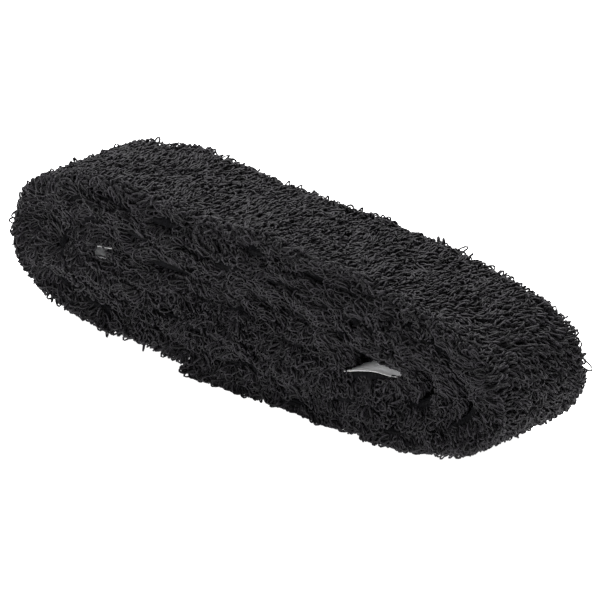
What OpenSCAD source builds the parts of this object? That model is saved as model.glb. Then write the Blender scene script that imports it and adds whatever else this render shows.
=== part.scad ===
// Towel grip for a racket handle: one strip of terry towelling with a self-adhesive
// back and its release paper still on, wound into a flat oblong coil.
// The coil lies on its underside. X is the coil's length, Y the width of the strip,
// which stands on edge, and Z the stack of plies. The loops face out of the coil.

/* [Strip] */
// Width of the woven ground cloth
strip_w = 28; // [20:1:40]
// Thickness of the woven ground cloth
ground_t = 0.8; // [0.6:0.1:1.2]
// How far the loops spread past each edge of the cloth
pile_over = 0.9; // [0:0.1:2]
// Thickness of the adhesive film
adhesive_t = 0.15; // [0.1:0.05:0.3]
// Adhesive kept back from each edge of the cloth
adhesive_margin = 0.5; // [0:0.1:2]
// Thickness of the release paper
paper_t = 0.15; // [0.1:0.05:0.3]
// How far the release paper stands past each edge of the cloth
paper_over = 0.2; // [0:0.1:0.8]

/* [Loops] */
// Height of the loops between two plies
pile_packed = 3.8; // [3:0.05:4.2]
// Height of the loops along the top, where nothing presses on them
pile_free = 4.1; // [3:0.1:5]
// Height of the loops that fan out around the outside of a fold
pile_fan = 6.2; // [5:0.1:6.6]
// Height of the loops under the coil, which its weight presses down
pile_pressed = 1.6; // [1:0.1:3]

/* [Coil] */
// Length of the straight run from the folds at the left to the middle of the coil
run = 50; // [42:1:70]
// How far the folds at the left reach past that run
left_reach = 27; // [24:0.2:36]
// How far the outer fold at the right reaches from the middle of the coil
right_reach = 53.4; // [50:0.2:62]
// Air between one ply's loops and the next ply's paper
slack = 0.3; // [0.2:0.05:0.8]
// Air between the two papers where the strip turns back on itself
core_gap = 0.5; // [0.4:0.1:1]
// How far the outer cut end lies from the outer fold at the left
tail_from_fold = 47.6; // [34:0.2:70]
// How far the innermost fold lies from the middle of the coil
nose_reach = 11.6; // [4:0.2:12]
// Length of the eye that stays open beyond the innermost fold, at the right
eye_l = 16.4; // [13:0.2:17]
// Length of the eye between the inner cut end and the fold around it, at the left
end_eye_l = 7; // [5:0.5:14]

/* [Hidden] */

// Points to each curved stretch of the strip
steps = 8;
// Handle length of a cubic curve that turns a quarter of an ellipse
quarter = 0.5523;

// From the middle of the cloth to the root of the loops, and to the face of the paper
front = ground_t / 2;
back = ground_t / 2 + adhesive_t + paper_t;
// From one ply to the next along the runs and around the folds at the left
tight = front + pile_packed + slack + back;
fanned = front + pile_fan + slack + back;
// Across a turn of the strip on itself, and half of it where the turn holds an eye open
turn = 2 * back + core_gap;
bend_r = turn / 2 + 0.5;

// Heights of the plies: four whose loops face down, then four whose loops face up
z1 = pile_pressed + front;
z2 = z1 + tight;
z3 = z2 + tight;
z4 = z3 + tight;
z5 = z4 + turn;
z6 = z5 + tight;
z7 = z6 + tight;
z8 = z7 + tight;
// Middle heights of the folds at the right and of those at the left
right_z = (z1 + z8) / 2;
left_z = (z2 + z8) / 2;

// The folds at the left, outermost first
left_x = -run;
fold_a = left_x - left_reach;
fold_b = fold_a + fanned;
fold_c = fold_b + fanned;
// The folds at the right: the tip of the eye, and the one between it and the outermost
tip_x = nose_reach + front + pile_packed + eye_l + back;
fold_d = (tip_x + right_reach) / 2;
// The coil is centred on its length
centre_x = (right_reach + fold_a) / 2;

// The strip from its outer cut end to its inner one. Each station is the middle of
// the cloth: x, z, the way the strip is heading, and the height of the loops there.
ROUTE = [
    [fold_a + tail_from_fold, z1, 0, pile_pressed],
    [2, z1, 0, pile_pressed],
    [right_reach, right_z, 90, pile_fan],
    [-4, z8, 179, pile_free],
    [left_x, z8, 180, pile_free],
    [fold_a, left_z, 270, pile_fan],
    [left_x, z2, 0, pile_packed],
    [-4, z2, 0, pile_packed],
    [fold_d, right_z, 90, pile_packed + 0.6],
    [-8, z7, 180, pile_packed],
    [left_x, z7, 180, pile_packed],
    [fold_b, left_z, 270, pile_packed + 0.5],
    [left_x, z3, 0, pile_packed],
    [nose_reach - 1, z3, 0, pile_packed - 0.4],
    [tip_x - 11, right_z - bend_r - 1.2, 9, pile_packed + 0.6],
    [tip_x - bend_r, right_z - bend_r, 4, pile_packed + 0.7],
    [tip_x, right_z, 90, pile_packed + 0.8],
    [tip_x - bend_r, right_z + bend_r, 176, pile_packed + 0.4],
    [tip_x - 11, right_z + bend_r + 1.4, 169, pile_packed - 0.2],
    [nose_reach - 4, z6, 180, pile_packed - 0.6],
    [left_x, z6, 180, pile_packed],
    [fold_c, left_z, 270, pile_packed],
    [left_x, z4, 0, pile_packed],
    [nose_reach - turn / 2, z4, 0, pile_packed],
    [nose_reach, (z4 + z5) / 2, 90, pile_packed],
    [nose_reach - turn / 2, z5, 180, pile_packed - 0.3],
    [fold_c + back + end_eye_l, z5, 180, pile_packed]
];

function way(a) = [cos(a), sin(a)];

// Handles of the cubic between two stations: a third of the way on a run, and an
// ellipse's where the strip turns by a right angle
function reach(a, b, heading) =
    let (d = [b[0] - a[0], b[1] - a[1]], bend = abs((b[2] - a[2] + 540) % 360 - 180))
    bend > 45 ? quarter * abs(d * way(heading)) : norm(d) / 3;

function flat(a, b) = a[1] == b[1] && a[2] == b[2] && a[3] == b[3];
function ease(t) = t * t * (3 - 2 * t);

// A point of the strip between stations a and b: x, z, direction, height of the loops
function spot(a, b, t) =
    let (
        p = [a[0], a[1]],
        s = [b[0], b[1]],
        q = p + way(a[2]) * reach(a, b, a[2]),
        r = s - way(b[2]) * reach(a, b, b[2]),
        u = 1 - t,
        at = u * u * u * p + 3 * u * u * t * q + 3 * u * t * t * r + t * t * t * s,
        to = u * u * (q - p) + 2 * u * t * (r - q) + t * t * (s - r)
    )
    [at, to / norm(to), a[3] + (b[3] - a[3]) * ease(t)];

SPOTS = concat(
    [
        for (i = [0 : len(ROUTE) - 2])
            let (n = flat(ROUTE[i], ROUTE[i + 1]) ? 1 : steps)
                for (k = [0 : n - 1]) spot(ROUTE[i], ROUTE[i + 1], k / n)
    ],
    [spot(ROUTE[len(ROUTE) - 2], ROUTE[len(ROUTE) - 1], 1)]
);

// The strip's line moved by d towards the loops, plus a share of their height
function shifted(d, share) = [
    for (s = SPOTS) s[0] + [s[1][1], -s[1][0]] * (d + share * s[2])
];
function reversed(v) = [for (i = [len(v) - 1 : -1 : 0]) v[i]];

// One layer of the strip, from inner line to outer line, w wide
module layer(inner, outer, w) {
    translate([-centre_x, 0, 0])
        rotate([90, 0, 0])
            linear_extrude(height = w, center = true)
                polygon(concat(outer, reversed(inner)));
}

// Plain woven cotton base of the towelling
module ground_cloth() {
    color("#1d1d20")
        layer(shifted(-front, 0), shifted(front, 0), strip_w);
}

// Uncut cotton loops woven into the base, as the space they fill
module loop_pile() {
    color("#2a2a2e")
        layer(shifted(front, 0), shifted(front, 1), strip_w + 2 * pile_over);
}

// Pressure-sensitive adhesive on the back of the base
module adhesive_film() {
    color("#d9d2bd")
        layer(shifted(-front - adhesive_t, 0), shifted(-front, 0), strip_w - 2 * adhesive_margin);
}

// White release paper over the adhesive
module release_paper() {
    color("#f4f4f2")
        layer(shifted(-back, 0), shifted(-front - adhesive_t, 0), strip_w + 2 * paper_over);
}

ground_cloth();
loop_pile();
adhesive_film();
release_paper();
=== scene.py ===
import math

import bpy
import numpy as np
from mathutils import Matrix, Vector


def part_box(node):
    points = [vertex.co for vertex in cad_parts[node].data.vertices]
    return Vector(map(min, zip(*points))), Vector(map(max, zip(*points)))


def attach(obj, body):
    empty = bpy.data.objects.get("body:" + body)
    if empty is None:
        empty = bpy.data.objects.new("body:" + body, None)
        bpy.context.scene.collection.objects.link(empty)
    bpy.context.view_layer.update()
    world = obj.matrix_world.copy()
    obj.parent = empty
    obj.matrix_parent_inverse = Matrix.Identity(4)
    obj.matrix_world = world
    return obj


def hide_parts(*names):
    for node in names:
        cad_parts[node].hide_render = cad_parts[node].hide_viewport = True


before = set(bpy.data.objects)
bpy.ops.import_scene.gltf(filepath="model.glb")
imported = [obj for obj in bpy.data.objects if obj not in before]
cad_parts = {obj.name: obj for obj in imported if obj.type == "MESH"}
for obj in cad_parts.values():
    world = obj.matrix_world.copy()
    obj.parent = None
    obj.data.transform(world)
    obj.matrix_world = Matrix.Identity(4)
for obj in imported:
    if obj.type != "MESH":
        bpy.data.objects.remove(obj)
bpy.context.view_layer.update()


# ---- Camera ----
# A long lens a little over a metre away, to the right of the coil's open face and a
# little above it, so that the wound edges, the top and the right-hand end all show.
turn, rise = math.radians(42.56), math.radians(23.19)
distance = 1.111
away = Vector((math.sin(turn) * math.cos(rise), -math.cos(turn) * math.cos(rise), math.sin(rise)))
across = Vector((math.cos(turn), math.sin(turn), 0))
lens = bpy.data.cameras.new("long_lens")
lens.lens, lens.sensor_width = 301.3, 36
lens.clip_start, lens.clip_end = 0.1, 20
camera = bpy.data.objects.new("camera", lens)
bpy.context.scene.collection.objects.link(camera)
upwards = away.cross(across)
looked_at = Vector((-0.0007, 0, 0.0205)) + across * 0.00242 - upwards * 0.00158
camera.location = looked_at + away * distance
camera.rotation_euler = away.to_track_quat("Z", "Y").to_euler()
bpy.context.scene.camera = camera


# ---- Ground cloth ----
# The woven cotton base of the towelling: one long strip, wound up with its loops
# outwards. Its line through the coil is read off the edge of the CAD strip.
MM = 0.001
rng = np.random.default_rng(20)


def edge_lines(node):
    """The two long lines of a layer's near edge, from the strip's outer cut end to its
    inner one: the side towards the loops first, then the side towards the paper."""
    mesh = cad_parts[node].data
    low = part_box(node)[0].y
    seen = {}
    for face in mesh.polygons:
        corners = [mesh.vertices[v].co for v in face.vertices]
        if max(abs(c.y - low) for c in corners) > 1e-6:
            continue
        keys = [(round(c.x * 1e6), round(c.z * 1e6)) for c in corners]
        for a, b in zip(keys, keys[1:] + keys[:1]):
            seen[frozenset((a, b))] = seen.get(frozenset((a, b)), 0) + 1
    beside = {}
    for edge, times in seen.items():
        if times == 1:
            a, b = edge
            beside.setdefault(a, []).append(b)
            beside.setdefault(b, []).append(a)
    start = min(beside)
    ring, last = [start], None
    while True:
        nearby = [k for k in beside[ring[-1]] if k != last]
        last = ring[-1]
        if nearby[0] == start and len(ring) > 2:
            break
        ring.append(nearby[0])
    ring = np.array(ring, float) * 1e-6
    ahead, behind = np.roll(ring, -1, 0) - ring, ring - np.roll(ring, 1, 0)
    crossed = behind[:, 0] * ahead[:, 1] - behind[:, 1] * ahead[:, 0]
    sharpness = np.abs(np.arctan2(crossed, (ahead * behind).sum(1)))
    corners = sorted(np.argsort(sharpness)[-4:])
    sides = [ring[a:b + 1] for a, b in zip(corners, corners[1:])]
    sides.append(np.concatenate([ring[corners[3]:], ring[:corners[0] + 1]]))
    long_sides = sorted(sides, key=len)[-2:]
    long_sides = [s if s[0, 1] < s[-1, 1] else s[::-1] for s in long_sides]
    return sorted(long_sides, key=lambda s: s[0, 1])


cloth_out, cloth_in = edge_lines("ground_cloth")
pile_out, pile_in = edge_lines("loop_pile")
paper_in = edge_lines("release_paper")[1]
middle = (cloth_out + cloth_in) / 2
outward = cloth_out - cloth_in
cloth_t = float(np.linalg.norm(outward, axis=1).mean())
outward /= np.linalg.norm(outward, axis=1)[:, None]
onward = np.stack([-outward[:, 1], outward[:, 0]], 1)
pile_h = np.linalg.norm(pile_out - pile_in, axis=1)
paper_depth = float(np.linalg.norm(paper_in - middle, axis=1).mean())
half_w = float(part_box("ground_cloth")[1].y)

# A smooth line through those points, every 0.1 mm
line, facing, height = [], [], []
for i in range(len(middle) - 1):
    chord = np.linalg.norm(middle[i + 1] - middle[i])
    t = np.arange(0, 1, 0.1 * MM / chord)[:, None]
    h00, h10 = 2 * t**3 - 3 * t**2 + 1, t**3 - 2 * t**2 + t
    h01, h11 = 3 * t**2 - 2 * t**3, t**3 - t**2
    near_end = h00 * middle[i] + h10 * chord * onward[i]
    far_end = h01 * middle[i + 1] + h11 * chord * onward[i + 1]
    line.append(near_end + far_end)
    facing.append((1 - t) * outward[i] + t * outward[i + 1])
    height.append(((1 - t) * pile_h[i] + t * pile_h[i + 1])[:, 0])
line, facing, height = np.concatenate(line), np.concatenate(facing), np.concatenate(height)
facing /= np.linalg.norm(facing, axis=1)[:, None]
along = np.concatenate([[0], np.cumsum(np.linalg.norm(np.diff(line, axis=0), axis=1))])
strip_l = float(along[-1])

# The room that the loops have at each point. Between plies it goes out to the paper of
# the next one, found straight ahead of every fifth point. Loops with nothing ahead of
# them are free, and spread furthest round the outer folds, the left one most of all.
spot, spot_out, spot_at = line[::5], facing[::5], along[::5]
gaps = spot[None] - spot[:, None]
ahead = (gaps * spot_out[:, None]).sum(-1)
aside = np.abs(gaps[..., 0] * spot_out[:, None, 1] - gaps[..., 1] * spot_out[:, None, 0])
other_ply = np.abs(spot_at[None] - spot_at[:, None]) > 8 * MM
in_the_way = (aside < 0.45 * MM) & (ahead > 2 * MM) & other_ply
nothing_ahead = 1.0
found = np.where(in_the_way, ahead, nothing_ahead).min(1)
free_at = found > 30 * MM
spread = np.where(spot[:, 0] < 0, 0.95, 0.35) * np.maximum(height[::5] - 4.3 * MM, 0)
air = 0.15 * MM
room_at = np.where(free_at, height[::5] + spread, found - cloth_t / 2 - paper_depth - air)
room_at = np.convolve(np.pad(room_at, 4, "edge"), np.full(9, 1 / 9), "valid")
room = np.interp(along, spot_at, room_at)
is_free = np.interp(along, spot_at, free_at.astype(float))
# Length measured out among the loops, which is longer than the cloth round a fold
tips = line + facing * (0.75 * np.minimum(room, 7 * MM))[:, None]
tip_run = np.concatenate([[0], np.cumsum(np.linalg.norm(np.diff(tips, axis=0), axis=1))])


def on_line(values, s):
    """Values held along the strip's line, read at the lengths s."""
    if values.ndim == 1:
        return np.interp(s, along, values)
    return np.stack([np.interp(s, along, column) for column in values.T], -1)


coil_top = float(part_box("loop_pile")[1].z)
sunk_mm = 1.9


def settle(p):
    """How the real coil lies: its far side has sunk a little towards the right, its plies
    stand slightly in or out of line with each other, and its top is not quite flat."""
    x, y, z = p[..., 0] / MM, p[..., 1] / MM, p[..., 2] / MM
    up = np.clip(z / (coil_top / MM), 0, 1.1)
    far = np.clip((y + 15) / 30, -0.1, 1.1)
    right = np.clip((x + 45) / 40, 0, 1)
    right = right * right * (3 - 2 * right) * (1 - 0.25 * np.clip((x - 48) / 20, 0, 1))
    down = sunk_mm * up * far * (0.1 + 0.9 * right)
    waves = up * (0.28 * np.sin(x / 8.3 + 0.7) + 0.2 * np.sin(x / 4.1 + y / 7 + 2))
    dy = 0.6 * np.sin(z / 2.7 + x / 31) + 0.45 * np.sin(x / 11 - z / 4.3 + 1)
    dx = 0.3 * np.sin(y / 8 + z / 6)
    return p + np.stack([dx, dy, waves - down], -1) * MM


def lie(s, y, h):
    """Points of the strip: s along it, y across it, h out from the middle of its cloth."""
    c, n = on_line(line, s), on_line(facing, s)
    n = n / np.linalg.norm(n, axis=-1, keepdims=True)
    return np.stack([c[..., 0] + n[..., 0] * h, y + 0 * h, c[..., 1] + n[..., 1] * h], -1)


def mesh_piece(name, verts, quads, material):
    """A mesh object on the coil's one body."""
    mesh = bpy.data.meshes.new(name)
    verts = np.asarray(verts, np.float32).reshape(-1, 3)
    quads = np.asarray(quads, np.int32).reshape(-1, 4)
    mesh.vertices.add(len(verts))
    mesh.vertices.foreach_set("co", verts.ravel())
    mesh.loops.add(quads.size)
    mesh.loops.foreach_set("vertex_index", quads.ravel())
    mesh.polygons.add(len(quads))
    mesh.polygons.foreach_set("loop_start", np.arange(0, quads.size, 4, dtype=np.int32))
    mesh.update(calc_edges=True)
    mesh.polygons.foreach_set("use_smooth", np.full(len(quads), True))
    mesh.materials.append(material)
    piece = bpy.data.objects.new(name, mesh)
    bpy.context.scene.collection.objects.link(piece)
    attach(piece, "root")
    return piece


def band(name, s, ring_y, ring_h, material):
    """A closed band swept along the strip: at each length s a ring of points (y, h)."""
    rings, m = ring_y.shape
    verts = settle(lie(s[:, None] + 0 * ring_y, ring_y, ring_h))
    i, j = np.meshgrid(np.arange(rings - 1), np.arange(m), indexing="ij")
    k = (j + 1) % m
    walls = np.stack([i * m + j, i * m + k, (i + 1) * m + k, (i + 1) * m + j], -1)
    j = np.arange(m // 2 - 1)
    cap = np.stack([j, m - 1 - j, m - 2 - j, j + 1], -1)[:, ::-1]
    far_cap = cap[:, ::-1] + (rings - 1) * m
    piece = mesh_piece(name, verts, np.concatenate([walls.reshape(-1, 4), cap, far_cap]), material)

    # Its flat map: the strip cut into 24 rows, laid one above another
    rows = 24
    corner = np.zeros(len(piece.data.loops), np.int32)
    piece.data.loops.foreach_get("vertex_index", corner)
    ring, point = corner // m, corner % m
    row_at = ring / (rings - 1) * rows * 0.9999
    row = np.floor(np.repeat(row_at.reshape(-1, 4).min(1), 4))
    across_seam = np.repeat(np.ptp(point.reshape(-1, 4), axis=1) > 1, 4)
    point = np.where(across_seam & (point == 0), m, point)
    u, v = 0.02 + 0.9408 * (row_at - row), (row + 0.06 + 0.88 * point / m) / rows
    flat_map = piece.data.uv_layers.new(name="OFBake")
    flat_map.data.foreach_set("uv", np.clip(np.stack([u, v], -1), 0, 1).astype(np.float32).ravel())
    return piece


def flat_rings(half, low, high, n=8):
    """Thin flat rings of points, n to each face, half wide each way, from low to high."""
    half, low, high = np.broadcast_arrays(half, low, high)
    y = np.linspace(-1, 1, n)
    y = np.concatenate([y, y[::-1]])[None] * half[:, None]
    return y, np.repeat(np.stack([high, low], 1), n, axis=1)


def linear(code):
    """An sRGB hex colour as linear red, green, blue and alpha."""
    parts = [int(code[i:i + 2], 16) / 255 for i in (1, 3, 5)]
    return [c / 12.92 if c <= 0.04045 else ((c + 0.055) / 1.055) ** 2.4 for c in parts] + [1]


def add_node(material, kind, links=(), **settings):
    """Adds a node to a material: its settings, and links given as (socket, other node, output)."""
    node = material.node_tree.nodes.new(kind)
    for name, value in settings.items():
        if name[0].isupper() or name.isdigit():
            node.inputs[int(name) if name.isdigit() else name.replace("_", " ")].default_value = value
        else:
            setattr(node, name, value)
    for socket, other, output in links:
        material.node_tree.links.new(other.outputs[output], node.inputs[socket])
    return node


def new_material(name, **settings):
    """An empty material with one Principled shader, and that shader."""
    material = bpy.data.materials.new(name)
    material.use_nodes = True
    shader = material.node_tree.nodes["Principled BSDF"]
    for key, value in settings.items():
        shader.inputs[key.replace("_", " ")].default_value = value
    return material, shader


# Black cotton in a plain weave: matt, with a fine grid of threads. The threads are drawn
# 1 mm apart, about twice as coarse as they are, so that they show at the cut edges. One
# band of a wave texture is a twentieth of a turn wide.
thread = 0.98175 * MM
one_band = math.tau / 20
woven, shader = new_material("plain_woven_black_cotton", Roughness=1.0, Specular_IOR_Level=0.1)
place = add_node(woven, "ShaderNodeTexCoord")
weft = add_node(woven, "ShaderNodeTexWave", [("Vector", place, "Object")],
                bands_direction="X", Scale=one_band / thread, Distortion=1.0)
warp = add_node(woven, "ShaderNodeTexWave", [("Vector", place, "Object")],
                bands_direction="Y", Scale=one_band / thread, Distortion=1.0)
grid = add_node(woven, "ShaderNodeMath", [(0, weft, "Fac"), (1, warp, "Fac")], operation="MULTIPLY")
tint = add_node(woven, "ShaderNodeMixRGB", [("Fac", grid, "Value")],
                Color1=linear("#0a0a0b"), Color2=linear("#161618"))
ridge = add_node(woven, "ShaderNodeBump", [("Height", grid, "Value")], Strength=0.5, Distance=0.1 * MM)
woven.node_tree.links.new(tint.outputs["Color"], shader.inputs["Base Color"])
woven.node_tree.links.new(ridge.outputs["Normal"], shader.inputs["Normal"])

s = np.arange(0, strip_l, 0.5 * MM)
fray = half_w + 0.12 * MM * np.sin(s * 900) * np.sin(s * 370)
cloth_rings = flat_rings(fray, -cloth_t / 2, cloth_t / 2)
cloth = band("ground_cloth_strip", s, *cloth_rings, woven)
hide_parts("ground_cloth")


# ---- Adhesive film ----
# A thin coat of pressure-sensitive adhesive on the back of the cloth, kept back from
# both edges. It is hidden between the cloth and the release paper, and is a dull cream.
flow_l = 2.5 * MM
film, shader = new_material("acrylic_adhesive_coat", Roughness=0.35)
place = add_node(film, "ShaderNodeTexCoord")
flow = add_node(film, "ShaderNodeTexNoise", [("Vector", place, "Object")], Scale=1 / flow_l, Detail=3.0)
tint = add_node(film, "ShaderNodeMixRGB", [("Fac", flow, "Fac")],
                Color1=linear("#cfc7ae"), Color2=linear("#ded7c4"))
film.node_tree.links.new(tint.outputs["Color"], shader.inputs["Base Color"])
coat_t = 0.15 * MM
coat_w = float(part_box("adhesive_film")[1].y)
coat_out = -cloth_t / 2 - 0.01 * MM
coat_rings = flat_rings(coat_w + 0 * s, -cloth_t / 2 - coat_t, coat_out)
coat = band("adhesive_coat", s, *coat_rings, film)
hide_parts("adhesive_film")


# ---- Release paper ----
# White siliconised paper over the adhesive, peeled off before the grip is used. It shows
# in the two eyes of the coil, where the strip folds round on itself and nothing fills it.
# The silicone gives it a soft sheen, and the pulp a faint mottle.
mottle = 1.111 * MM
paper, shader = new_material("siliconised_white_paper", Roughness=0.45, Specular_IOR_Level=0.4)
place = add_node(paper, "ShaderNodeTexCoord")
pulp = add_node(paper, "ShaderNodeTexNoise", [("Vector", place, "Object")], Scale=1 / mottle, Detail=4.0)
tint = add_node(paper, "ShaderNodeMixRGB", [("Fac", pulp, "Fac")],
                Color1=linear("#e2e2e4"), Color2=linear("#f6f6f6"))
tooth = add_node(paper, "ShaderNodeBump", [("Height", pulp, "Fac")], Strength=0.15, Distance=0.05 * MM)
paper.node_tree.links.new(tint.outputs["Color"], shader.inputs["Base Color"])
paper.node_tree.links.new(tooth.outputs["Normal"], shader.inputs["Normal"])

paper_w = float(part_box("release_paper")[1].y)
liner_t = 0.12 * MM


def nearness(s, at, reach):
    """1 at the length at, falling smoothly to 0 at reach on either side of it."""
    t = np.clip(1 - np.abs(s - at) / reach, 0, 1)
    return t * t * (3 - 2 * t)


# The eyes are where the strip turns right round at the tip of the right-hand fold and at
# the left-hand fold before its inner end
turning = np.unwrap(np.arctan2(facing[:, 1], facing[:, 0]))
quarters = (turning - turning[0]) / (math.pi / 2)


def where_turned(n):
    """The length at which the strip has turned through n right angles."""
    return float(along[int(np.argmin(np.abs(quarters - n)))])


right_tip, left_fold, nose = where_turned(9), where_turned(11), where_turned(13)
beside_right = 2.5 * nearness(s, right_tip - 9 * MM, 15 * MM)
beside_left = 1.1 * nearness(s, left_fold - 8 * MM, 11 * MM)
eye_s, in_eye = s, np.clip(beside_right + beside_left, 0, 1)
# The paper bubbles and reaches the edge in an eye, and is tucked under the loops elsewhere
bubble = 0.15 * MM * in_eye * (1 + np.sin(s * 700))
liner_w = paper_w - 1.2 * MM * (1 - in_eye) + 0.2 * MM * in_eye
liner_rings = flat_rings(liner_w, -paper_depth - bubble, -paper_depth - bubble + liner_t)
liner = band("release_paper_strip", s, *liner_rings, paper)
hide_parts("release_paper")


# ---- Pile body ----
# The cotton loops packed too deep to be seen one by one, as one long mat that the
# loops in the next sections stand on. It is woven into the ground cloth.
clump = 0.7143 * MM
# The pile's own black cotton, painted darker than the loops as shade deep between them and at the seams:
# almost no light comes back out of it, so it looks black
painted_shade_cotton, shader = new_material("black_cotton_painted_deep_shade", Roughness=1.0, Specular_IOR_Level=0.05)
place = add_node(painted_shade_cotton, "ShaderNodeTexCoord")
clumps = add_node(painted_shade_cotton, "ShaderNodeTexNoise", [("Vector", place, "Object")], Scale=1 / clump, Detail=4.0)
tint = add_node(painted_shade_cotton, "ShaderNodeMixRGB", [("Fac", clumps, "Fac")],
                Color1=linear("#050505"), Color2=linear("#1a1a1d"))
matted = add_node(painted_shade_cotton, "ShaderNodeBump", [("Height", clumps, "Fac")], Strength=0.8, Distance=0.3 * MM)
painted_shade_cotton.node_tree.links.new(tint.outputs["Color"], shader.inputs["Base Color"])
painted_shade_cotton.node_tree.links.new(matted.outputs["Normal"], shader.inputs["Normal"])

mat_s = np.arange(0, strip_l, 0.6 * MM)
mat_room = on_line(room, mat_s)
under_loops = np.maximum(mat_room - 1.3 * MM, 0.45 * mat_room)
mat_h = np.where(on_line(is_free, mat_s) > 0.5, under_loops, 0.97 * mat_room)
mat_points, squareness = 24, 0.35
angle = np.linspace(0, math.tau, mat_points, endpoint=False) + math.pi / mat_points
round_y, round_h = np.cos(angle), np.sin(angle)
mat_y = np.sign(round_y) * np.abs(round_y) ** squareness * (half_w - 0.6 * MM)
share_h = 0.5 + 0.5 * np.sign(round_h) * np.abs(round_h) ** squareness
lumps = (len(mat_s), mat_points)
mat_y = mat_y + rng.normal(0, 0.15 * MM, lumps)
mat_h = cloth_t / 2 + share_h * mat_h[:, None] * (1 - np.abs(rng.normal(0, 0.05, lumps)))
# Its near-black colour is painted shade deep among the loops
packed = band("pile_packed_deep", mat_s, mat_y, mat_h, painted_shade_cotton)
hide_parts("loop_pile")


# ---- Painted seam shade ----
# Near-black bands along both cut edges of every ply, painted shade of the seams between plies. They lie
# over the edge of the cloth and of the paper, and make the seams dark.
covered = 1 - np.interp(mat_s, eye_s, in_eye)
low = -cloth_t / 2 - (paper_depth - cloth_t / 2 + 0.3 * MM) * covered
seam_shade_h = np.stack([low, low * 0.5 + 0.1 * MM, cloth_t / 2 + 0 * low, cloth_t / 2 + 0.8 * MM + 0 * low], 1)
seam_shade_h = np.concatenate([seam_shade_h, seam_shade_h[:, ::-1]], 1) + rng.normal(0, 0.05 * MM, (len(mat_s), 8))
seam_shade_out = np.array([-0.2, -0.1, 0.0, -0.3, -1.2, -1.2, -1.2, -1.2]) * MM
for name, side in (("near", -1), ("far", 1)):
    seam_shade_y = side * (half_w + seam_shade_out) + rng.normal(0, 0.08 * MM, (len(mat_s), 8))
    # Each band is painted shade: a near-black sheet along the seam
    seam_shade_band = band(f"painted_shade_seam_{name}_edge", mat_s, seam_shade_y, seam_shade_h, painted_shade_cotton)


# ---- Loops of the face ----
# Uncut loops of soft twisted cotton, about half a millimetre thick, woven into the cloth
# and laid over one another by handling. These are the ones all round the outermost ply.
yarn_r = 0.23 * MM
# Fibres finer than a tenth of a millimetre, drawn 0.3 mm coarse so that they show
fibre_l = 0.3125 * MM
# Twisted cotton: a soft dark charcoal with a faint bloom, each loop a little lighter or darker
yarn, shader = new_material("twisted_black_cotton_yarn", Roughness=0.62, Specular_IOR_Level=0.3,
                            Sheen_Weight=0.06, Sheen_Roughness=0.5)
shader.inputs["Sheen Tint"].default_value = linear("#b9bac0")
place = add_node(yarn, "ShaderNodeTexCoord")
fibre = add_node(yarn, "ShaderNodeTexNoise", [("Vector", place, "Object")], Scale=1 / fibre_l, Detail=2.0)
tone = add_node(yarn, "ShaderNodeAttribute", attribute_name="tone")
blend = add_node(yarn, "ShaderNodeMath", [(0, fibre, "Fac"), (1, tone, "Fac")], operation="MULTIPLY")
tint = add_node(yarn, "ShaderNodeMixRGB", [("Fac", blend, "Value")],
                Color1=linear("#060507"), Color2=linear("#322e35"))
fuzz = add_node(yarn, "ShaderNodeBump", [("Height", fibre, "Fac")], Strength=0.35, Distance=0.1 * MM)
yarn.node_tree.links.new(tint.outputs["Color"], shader.inputs["Base Color"])
yarn.node_tree.links.new(fuzz.outputs["Normal"], shader.inputs["Normal"])

# Above 1, the loops stand farther apart and fewer are drawn
sparse = 1.0


def patch(s0, s1, y0, y1, gap):
    """Roots of loops over a stretch of the strip, gap apart at their tips, out of line."""
    t0, t1 = np.interp([s0, s1], along, tip_run)
    gap = gap * sparse
    a, b = np.meshgrid(np.arange(t0, t1, gap), np.arange(y0, y1, gap), indexing="ij")
    a = a + (np.arange(b.shape[1]) % 2 * 0.5 * gap)[None, :]
    a = a + rng.uniform(-0.4, 0.4, a.shape) * gap
    b = b + rng.uniform(-0.4, 0.4, b.shape) * gap
    return np.stack([np.interp(a.ravel(), tip_run, along), b.ravel()], 1)


def drift(s, y, seed):
    """A smooth uneven value of about -1 to 1 over the strip, much the same for neighbours."""
    a, b = s / MM, y / MM
    bent = np.sin(a / 5.1 + seed + 1.3 * np.sin(b / 4.7 + seed))
    return (bent + np.sin(a / 2.9 - b / 3.7 + 2 * seed) + np.sin(b / 2.6 + a / 9.3)) / 2


def unit(vectors):
    """The same vectors, one unit long."""
    return vectors / (np.linalg.norm(vectors, axis=-1)[..., None] + 1e-12)


ply_pitch = 5.2 * MM
loop_points = 11


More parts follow.
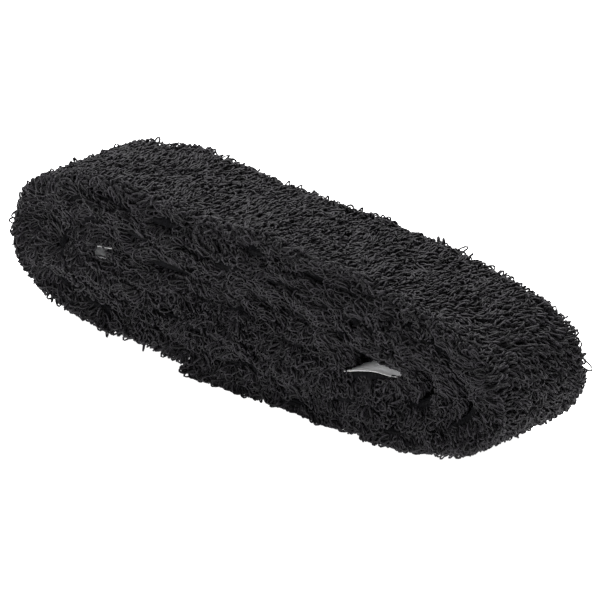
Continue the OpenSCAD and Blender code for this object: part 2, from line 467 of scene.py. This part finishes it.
def loop_lines(s, y, tall, wide, way, below, upright=True, pulled=0):
    """The middle lines of loops rooted at s along the strip and y across it, and the way
    that each loop's flat side faces. tall and wide are the ranges of their sizes, below is
    how far beneath the tips of the pile their feet may sit, and pulled is how far past
    those tips they may reach. way(s, y) gives each loop's direction: out of the cloth,
    along it and across it. Upright loops stand across the strip, and others lie in the
    plane of its edge, which they make bulge between one seam and the next."""
    n = len(s)
    out = on_line(facing, s)
    out = unit(np.stack([out[:, 0], 0 * s, out[:, 1]], 1))
    on = np.stack([-out[:, 2], 0 * s, out[:, 0]], 1)
    across_strip = np.tile([0.0, 1.0, 0.0], (n, 1))

    space = np.minimum(on_line(room, s), 8.5 * MM)
    lowest = 0 if upright else -(paper_depth + cloth_t / 2) * (1 - np.interp(s, eye_s, in_eye))
    stretch = 1 if upright else (space - lowest) / ply_pitch
    foot = np.maximum(space - rng.uniform(*below, n) * stretch, lowest)
    if not upright:
        bulge = np.sin(math.pi * (foot - lowest) / (space - lowest)) - 0.7
        y = y + np.sign(y) * MM * (0.8 * bulge + 0.4 * drift(1.6 * s, 3 * foot, 9))
    root = lie(s, y, cloth_t / 2 + foot)

    shares = way(s, y)
    up = unit(out * shares[:, :1] + on * shares[:, 1:2] + across_strip * shares[:, 2:])
    flat_side = (on if upright else across_strip) + 0.3 * rng.normal(size=(n, 3))
    flat_side = unit(flat_side - up * (flat_side * up).sum(1)[:, None])
    sideways = np.cross(flat_side, up)

    # As tall as the room over the foot allows, and never less than the shortest loop
    h = rng.uniform(*tall, n)
    rising = (up * out).sum(1)
    over_foot = space - foot + rng.uniform(-0.3, 0.15, n) * MM + pulled
    limit = np.where(rising > 0, over_foot, foot + 1.3 * MM)
    if not upright:
        limit = np.where(on_line(is_free, s) > 0.5, np.maximum(limit, 0.4 * MM), 9 * MM)
    h = np.maximum(np.minimum(h, limit / np.maximum(np.abs(rising), 0.15)), 1.3 * MM)[:, None]
    w = rng.uniform(*wide, n)[:, None]

    # Round the loop from foot to foot, fuller at the top, with a random curl and lean
    a = np.linspace(0.25, math.tau - 0.25, loop_points)[None, :]
    lift = 0.5 - 0.5 * np.cos(a)
    fullness = np.sign(np.sin(a)) * np.abs(np.sin(a)) ** 0.7 * (0.35 + 0.7 * np.sin(a / 2))
    curl = rng.normal(0, 0.25, n)[:, None] * w
    flop = rng.normal(0.0, 0.15, n)[:, None] * h
    lean = rng.normal(0, 0.18, n)[:, None] * h
    spread_by = 0.5 * w * fullness + lean * lift**2 + 0.15 * MM * np.sin(2 * a)
    turned_by = curl * np.sin(a) * lift + flop * lift**2
    p = root[:, None] + up[:, None] * (h * lift)[..., None]
    p = p + sideways[:, None] * spread_by[..., None]
    p = settle(p + flat_side[:, None] * turned_by[..., None])
    on_floor = yarn_r * 1.1 + rng.uniform(0, 0.3 * MM, n)[:, None]
    p[..., 2] = np.maximum(p[..., 2], on_floor)
    return p, flat_side


def yarn_piece(name, p, flat_side):
    """Closed lengths of yarn along the lines p, as one piece."""
    n, sides = len(p), 4
    a = np.linspace(0.25, math.tau - 0.25, loop_points)[None, :]
    ahead = unit(np.gradient(p, axis=1))
    one = unit(np.cross(ahead, flat_side[:, None] + 0 * ahead))[:, :, None]
    other = np.cross(ahead, one[:, :, 0])[:, :, None]
    r = yarn_r * rng.uniform(0.85, 1.15, n)[:, None] * (1 + 0.1 * np.sin(7 * a))
    corner = (np.arange(sides) * math.tau / sides)[:, None]
    v = p[:, :, None] + r[..., None, None] * (np.cos(corner) * one + np.sin(corner) * other)

    shape = np.arange(n), np.arange(loop_points - 1), np.arange(sides)
    i, k, j = np.meshgrid(*shape, indexing="ij")
    first = (i * loop_points + k) * sides
    j1 = (j + 1) % sides
    walls = np.stack([first + j, first + j1, first + sides + j1, first + sides + j], -1)
    cap = np.arange(n)[:, None] * loop_points * sides + np.array([[3, 2, 1, 0]])
    far_cap = cap[:, ::-1] + (loop_points - 1) * sides
    piece = mesh_piece(name, v, np.concatenate([walls.reshape(-1, 4), cap, far_cap]), yarn)
    tones = np.repeat(rng.uniform(0.02, 1.0, n) ** 1.2, loop_points * sides)
    tone_layer = piece.data.attributes.new("tone", "FLOAT", "POINT")
    tone_layer.data.foreach_set("value", tones.astype(np.float32))

    # Its flat map: each loop unrolled into a square of its own
    cells = math.ceil(math.sqrt(n))
    us = np.stack([k, k, k + 1, k + 1], -1) / (loop_points - 1)
    vs = np.stack([j, j + 1, j + 1, j], -1) / sides
    u = (i % cells)[..., None] + 0.05 + 0.9 * us
    v = (i // cells)[..., None] + 0.05 + 0.9 * vs
    square = np.array([[0, 0], [1, 0], [1, 1], [0, 1]]) * 0.04 + 0.01
    at = np.stack([np.arange(n) % cells, np.arange(n) // cells], -1)[:, None] + square
    ends = at.reshape(-1, 2), (at + [0.95, 0]).reshape(-1, 2)
    uv = np.concatenate([np.stack([u, v], -1).reshape(-1, 2), *ends])
    flat_map = piece.data.uv_layers.new(name="OFBake")
    flat_map.data.foreach_set("uv", (uv / cells).astype(np.float32).ravel())


def knit(name, roots, **manner):
    """Loops of yarn at the roots (s, y), in pieces of at most 2300 loops each."""
    roots = roots[np.argsort(roots[:, 0])]
    for number, some in enumerate(np.array_split(roots, math.ceil(len(roots) / 2300))):
        s, y = np.clip(some[:, 0], 0, strip_l), np.clip(some[:, 1], -half_w, half_w)
        yarn_piece(f"{name}_{number + 1}", *loop_lines(s, y, **manner))


def laid_over(s, y):
    """Loops of the face: neighbours lie alike, and those by an edge lean out over it."""
    n = len(s)
    tilt = 1.08 + 0.15 * drift(s, y, 1) + rng.uniform(-0.2, 0.2, n)
    heading = 2.4 + 0.75 * drift(s, y, 4) + rng.normal(0, 0.4, n)
    by_edge = np.clip((np.abs(y) - (half_w - 2.4 * MM)) / (2.4 * MM), 0, 1)
    over_edge = np.sign(y) * by_edge * rng.uniform(0.1, 0.6, n)
    lying = np.sin(tilt)
    return np.stack([np.cos(tilt), lying * np.cos(heading), lying * np.sin(heading) + over_edge], 1)


# The outermost ply shows from the outer cut end to where it passes over that end again
past_left = along > where_turned(3)
lap = float(along[past_left & (line[:, 0] > line[0, 0])][0])
roots = patch(0, lap, -half_w + 0.5 * MM, half_w - 0.3 * MM, 0.74 * MM)
knit("loops_outside", roots, tall=(2.4 * MM, 3.5 * MM), wide=(1.3 * MM, 2.0 * MM),
     way=laid_over, below=(1.2 * MM, 2.0 * MM))


# ---- Loops at the cut edges ----
# The same loops along both edges of every ply, where the strip was slit to its width.
# Some stand beside the cut, and more spill out over it and hide the cloth's edge.
def scatter(count, s0, s1, y0, y1):
    """Roots of loops strewn evenly over a stretch of the strip."""
    count = int(count / sparse**2)
    t = rng.uniform(*np.interp([s0, s1], along, tip_run), count)
    return np.stack([np.interp(t, tip_run, along), rng.uniform(y0, y1, count)], 1)


def spilling(s, y):
    """Loops that spill out over the cut edge and lie along it, in bunches that lie alike."""
    n = len(s)
    swing = 0.9 + 1.7 * drift(1.3 * s, 2 * y, 2) + rng.normal(0, 0.22, n)
    return np.stack([np.cos(swing), np.sin(swing), np.sign(y) * rng.uniform(0.15, 0.6, n)], 1)


def inwards(s, y):
    """Loops that spill out over the cut edge and down across the edge of the paper."""
    n = len(s)
    towards_paper = rng.uniform(-1.0, -0.2, n)
    return np.stack([towards_paper, rng.normal(0, 0.5, n), np.sign(y) * rng.uniform(0.1, 0.4, n)], 1)


# How sharply the strip bends, per metre: its loops fan apart at the folds, so more show
sharp = np.abs(np.gradient(turning, along))
for name, side, many in (("near", -1, 1.0), ("far", 1, 0.8)):
    mirror = [1, side]
    beside = patch(0, strip_l, half_w - 2.4 * MM, half_w, 1.15 / many * MM)
    knit(f"loops_beside_{name}_cut", beside * mirror, tall=(2.5 * MM, 3.6 * MM),
         wide=(1.3 * MM, 2.0 * MM), way=laid_over, below=(1.2 * MM, 3.4 * MM))
    everywhere = scatter(9000 * many, 0, strip_l, half_w - 1.2 * MM, half_w)
    again = scatter(9000 * many, 0, strip_l, half_w - 1.2 * MM, half_w)
    # Where the strip turns back on itself, two papers meet and the loops close over them
    core = scatter(420 * many, nose - 62 * MM, strip_l, half_w - 0.9 * MM, half_w)
    knit(f"loops_over_core_{name}", core * mirror, tall=(1.7 * MM, 2.5 * MM),
         wide=(1.1 * MM, 1.7 * MM), way=inwards, below=(3.6 * MM, 4.9 * MM), upright=False)
    over = np.concatenate([everywhere, again[on_line(sharp, again[:, 0]) > 30]])
    knit(f"loops_over_{name}_cut", over * mirror, tall=(1.9 * MM, 3.0 * MM),
         wide=(1.2 * MM, 1.8 * MM), way=spilling, below=(0.3 * MM, 4.8 * MM), upright=False)


# ---- Loops over the left eye and the cut ends ----
# The same loops where they hang into the eye at the left, and over the two ends where
# the strip was cut to length.
def beyond_end(s, y):
    """Loops that hang over the cut end of the strip."""
    n = len(s)
    out = rng.normal(0.1, 0.4, n)
    past_it = rng.uniform(0.6, 1.0, n) * np.where(s < strip_l / 2, -1, 1)
    return np.stack([out, past_it, rng.normal(0, 0.3, n)], 1)


fringe = scatter(230, left_fold - 12 * MM, left_fold + 12 * MM, half_w - 1.2 * MM, half_w)
knit("loops_over_eyes", fringe * [1, -1], tall=(1.8 * MM, 2.6 * MM), wide=(1.1 * MM, 1.7 * MM),
     way=inwards, below=(3.0 * MM, 4.4 * MM), upright=False)
inner_cut = scatter(170, strip_l - 1.5 * MM, strip_l, -half_w, half_w)
outer_cut = scatter(170, 0, 1.5 * MM, -half_w, half_w)
knit("loops_over_cut_ends", np.concatenate([inner_cut, outer_cut]), tall=(2.4 * MM, 3.6 * MM),
     wide=(1.2 * MM, 1.9 * MM), way=beyond_end, below=(0.5 * MM, 4.2 * MM))


# ---- Pulled loops ----
# A few loops of the outermost ply that handling has pulled out of the face and the
# edges. They stand clear of the rest.
def pulled_out(s, y):
    """Loops that stand away from the rest."""
    n = len(s)
    out = rng.uniform(0.6, 1.0, n)
    return np.stack([out, rng.normal(0, 0.5, n), np.sign(y) * rng.uniform(0, 0.7, n)], 1)


on_face = scatter(10, 0, lap, -half_w, half_w)
by_edges = scatter(14, 0, lap, half_w - 1 * MM, half_w)
knit("loops_pulled", np.concatenate([on_face, by_edges]), tall=(3.0 * MM, 5.0 * MM),
     wide=(1.3 * MM, 2.2 * MM), way=pulled_out, below=(1.0 * MM, 1.8 * MM), pulled=1.6 * MM)


# ---- Loops of the inner end ----
# The same loops on the rounded nose of the coil and on the inner cut end, which show
# inside the eyes.
inset = half_w - 2.5 * MM
round_nose = patch(nose - 14 * MM, nose + 14 * MM, -inset, inset, 1.1 * MM)
near_end = patch(strip_l - 14 * MM, strip_l, -inset, inset, 1.1 * MM)
knit("loops_inner_end", np.concatenate([round_nose, near_end]), tall=(3.0 * MM, 4.2 * MM),
     wide=(1.3 * MM, 2.0 * MM), way=laid_over, below=(1.5 * MM, 3.5 * MM))


# ---- Floor and light ----
# A plain white sweep that glows of itself, so that shadows hardly show on it, with a
# large soft light overhead and a weak one in front.
pale, shader = new_material("matt_white_sweep", Roughness=0.9)
shader.inputs["Base Color"].default_value = (0.9, 0.9, 0.9, 1)
shader.inputs["Specular IOR Level"].default_value = 0.0
shader.inputs["Emission Color"].default_value = (1, 1, 1, 1)
shader.inputs["Emission Strength"].default_value = 1.0
sweep_mesh = bpy.data.meshes.new("sweep")
reach = 6
corners = [(-reach, -reach, 0), (reach, -reach, 0), (reach, reach, 0), (-reach, reach, 0)]
sweep_mesh.from_pydata(corners, [], [(0, 1, 2, 3)])
sweep_mesh.materials.append(pale)
sweep = bpy.data.objects.new("sweep", sweep_mesh)
bpy.context.scene.collection.objects.link(sweep)

world = bpy.data.worlds.new("white_surround")
world.use_nodes = True
world.node_tree.nodes["Background"].inputs["Color"].default_value = (1, 1, 1, 1)
world.node_tree.nodes["Background"].inputs["Strength"].default_value = 0.25
bpy.context.scene.world = world
lit_at = Vector((0, 0, 0.02))
lights = (("overhead", (-0.3, 0.3, 0.9), 0.6, 20), ("front", (0.1, -1.0, 0.5), 0.5, 1.2))
for name, place, size, power in lights:
    lamp = bpy.data.lights.new(name, "AREA")
    lamp.size, lamp.energy = size, power
    holder = bpy.data.objects.new(name, lamp)
    holder.location = place
    holder.rotation_euler = (Vector(place) - lit_at).to_track_quat("Z", "Y").to_euler()
    bpy.context.scene.collection.objects.link(holder)
bpy.context.scene.view_settings.view_transform = "Standard"
